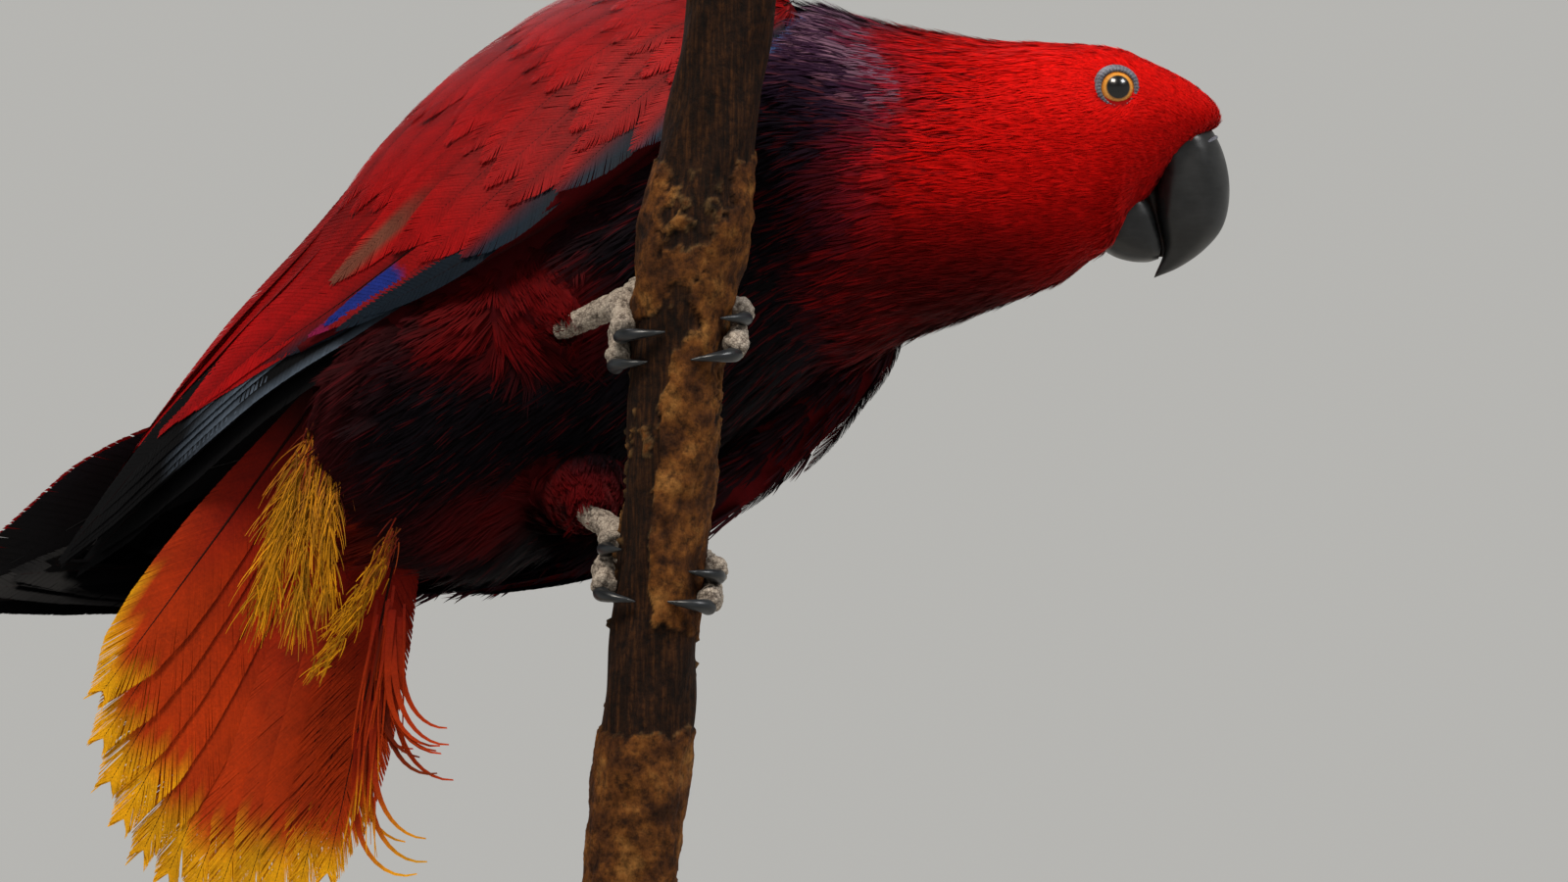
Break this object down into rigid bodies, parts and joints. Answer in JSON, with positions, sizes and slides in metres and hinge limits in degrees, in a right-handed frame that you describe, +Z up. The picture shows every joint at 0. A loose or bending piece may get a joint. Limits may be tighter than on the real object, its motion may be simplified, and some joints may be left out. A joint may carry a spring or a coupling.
{
  "type": "eclectus parrot",
  "caption": "Life-size still model of a female eclectus parrot clinging to a cut length of upright branch, on a plain flat display stand.",
  "frame": {"origin": "middle of the flat underside of the stand's base", "axes": "+Z up, +X towards the side the bird's head points to, -Y towards the side the bird's belly and right flank face"},
  "size_m": [0.3183, 0.1793, 0.267],
  "materials": {
    "red_plumage": "soft feather, matt with a faint sheen",
    "violet_plumage": "soft feather, matt with a faint sheen",
    "wing_plumage": "flat feather vanes, low sheen",
    "tail_plumage": "flat feather vanes, low sheen",
    "bill_horn": "satin black horn",
    "tongue_skin": "moist dark skin",
    "eye": "polished, wet look",
    "foot_scales": "dry grey scales",
    "claw_horn": "satin dark horn",
    "bark": "rough peeling bark",
    "stand_steel": "satin",
    "stand_board": "board sprayed satin off-white"
  },
  "bodies": {
    "root": {"head": "red_plumage", "neck": "violet_plumage", "torso": "violet_plumage", "bill_upper": "bill_horn", "bill_lower": "bill_horn", "tongue": "tongue_skin", "eye_right": "eye", "eye_left": "eye", "wing_right": "wing_plumage", "wing_left": "wing_plumage", "tail": "tail_plumage", "thigh_right": "red_plumage", "thigh_left": "red_plumage", "foot_right": "foot_scales", "foot_left": "foot_scales", "claw_right_1": "claw_horn", "claw_right_2": "claw_horn", "claw_right_3": "claw_horn", "claw_right_4": "claw_horn", "claw_left_1": "claw_horn", "claw_left_2": "claw_horn", "claw_left_3": "claw_horn", "claw_left_4": "claw_horn", "perch": "bark", "stand_rod": "stand_steel", "stand_base": "stand_board"}
  },
  "joints": []
}
